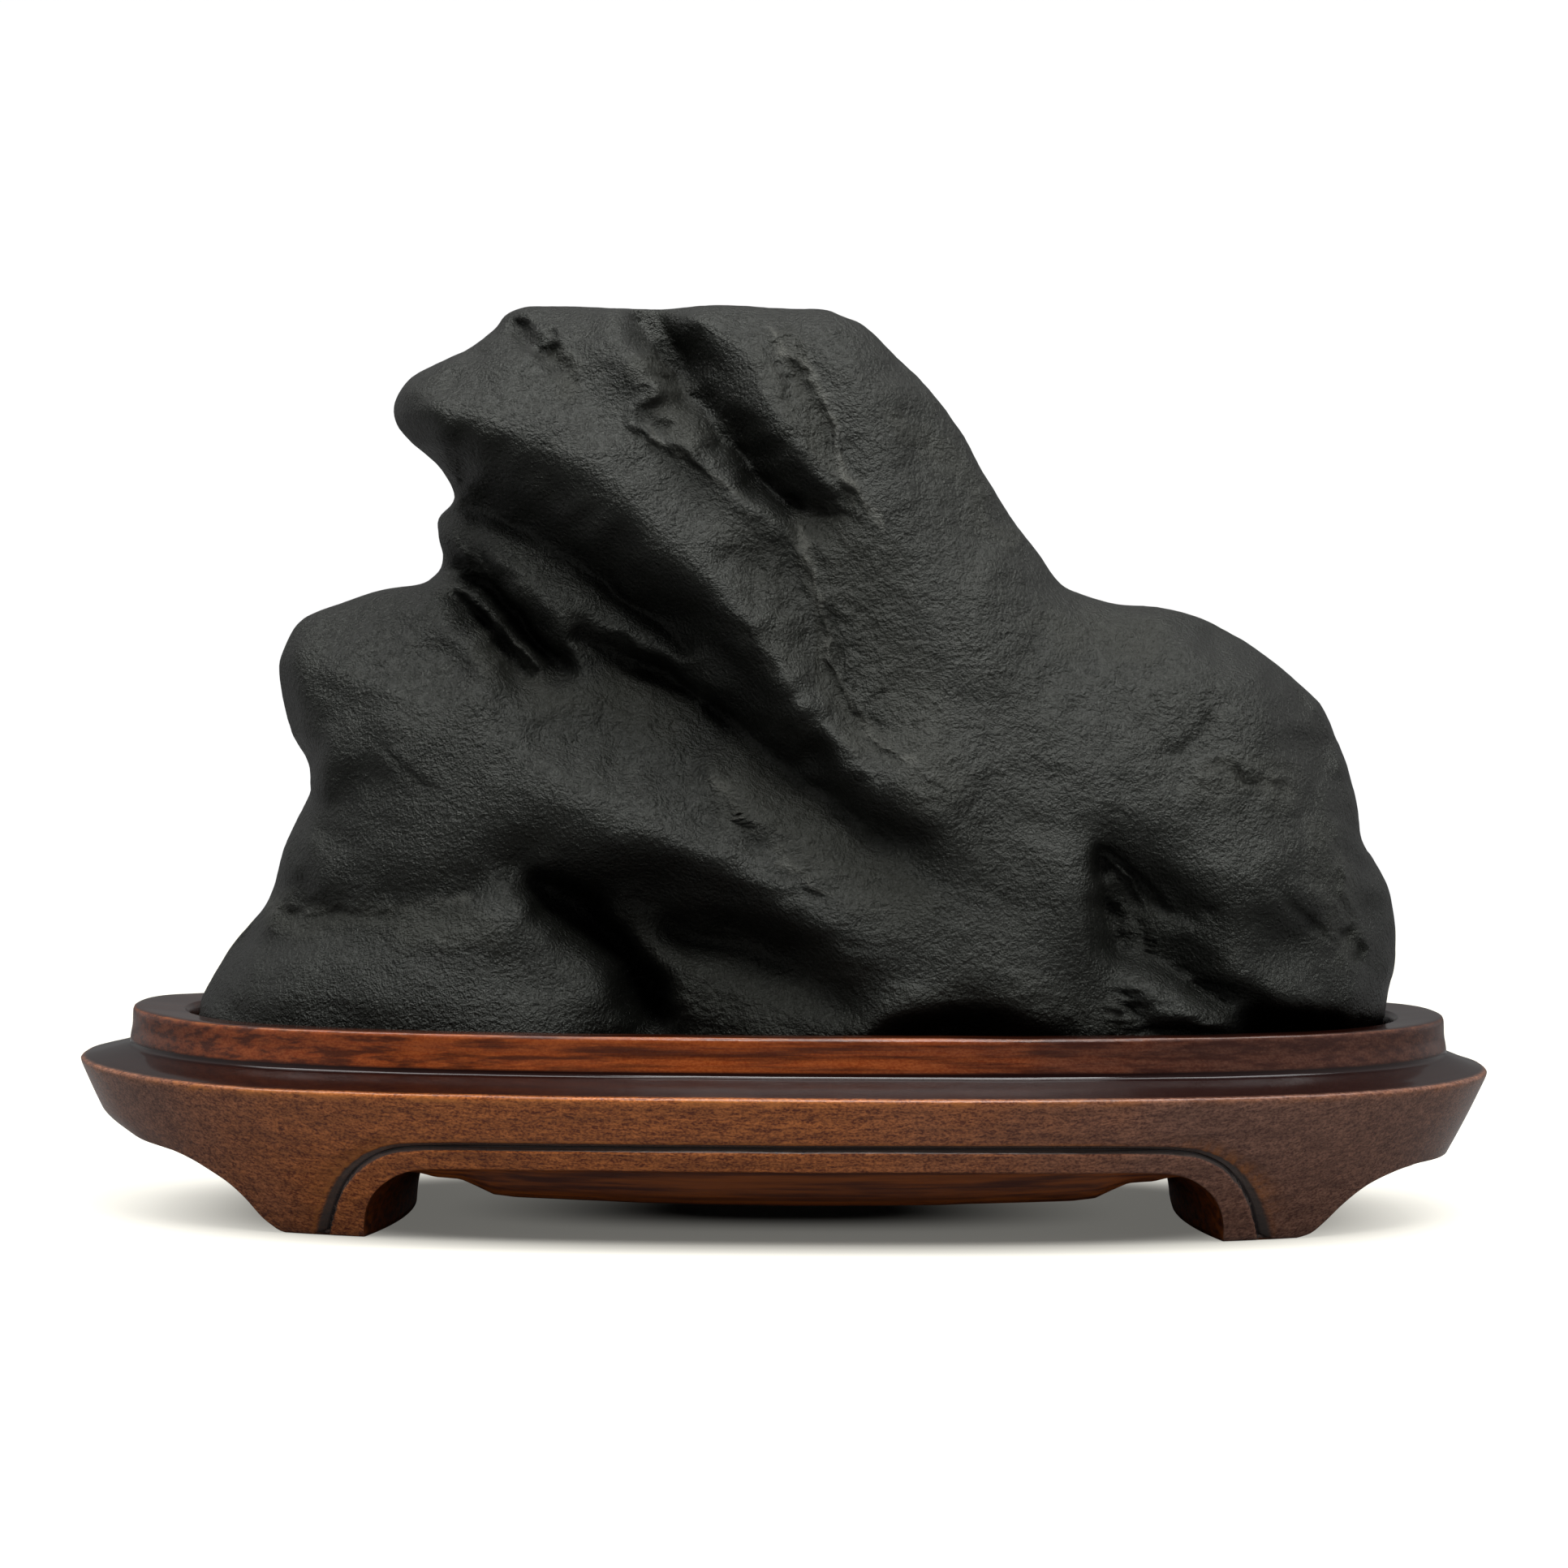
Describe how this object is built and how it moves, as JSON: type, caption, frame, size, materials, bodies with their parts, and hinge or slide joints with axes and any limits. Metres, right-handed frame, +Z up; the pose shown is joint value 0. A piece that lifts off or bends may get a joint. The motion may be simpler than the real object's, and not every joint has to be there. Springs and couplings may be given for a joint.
{
  "type": "scholars rock",
  "caption": "Black ridged scholars rock seated in a moulded oval stand of stained wood with two carved runner legs.",
  "frame": {"origin": "centre of the bounding box's lowest face, on the surface that the stand rests on", "axes": "+Z up, +X along the stand's length to the right of someone who faces the front, +Y from the front to the back"},
  "size_m": [0.2004, 0.096, 0.1295],
  "materials": {
    "black_stone": "satin, finely pitted, near black",
    "stained_wood": "satin lacquer over a red-brown stain, worn lighter along the edges"
  },
  "bodies": {
    "root": {"rock": "black_stone", "stand": "stained_wood"}
  },
  "joints": []
}
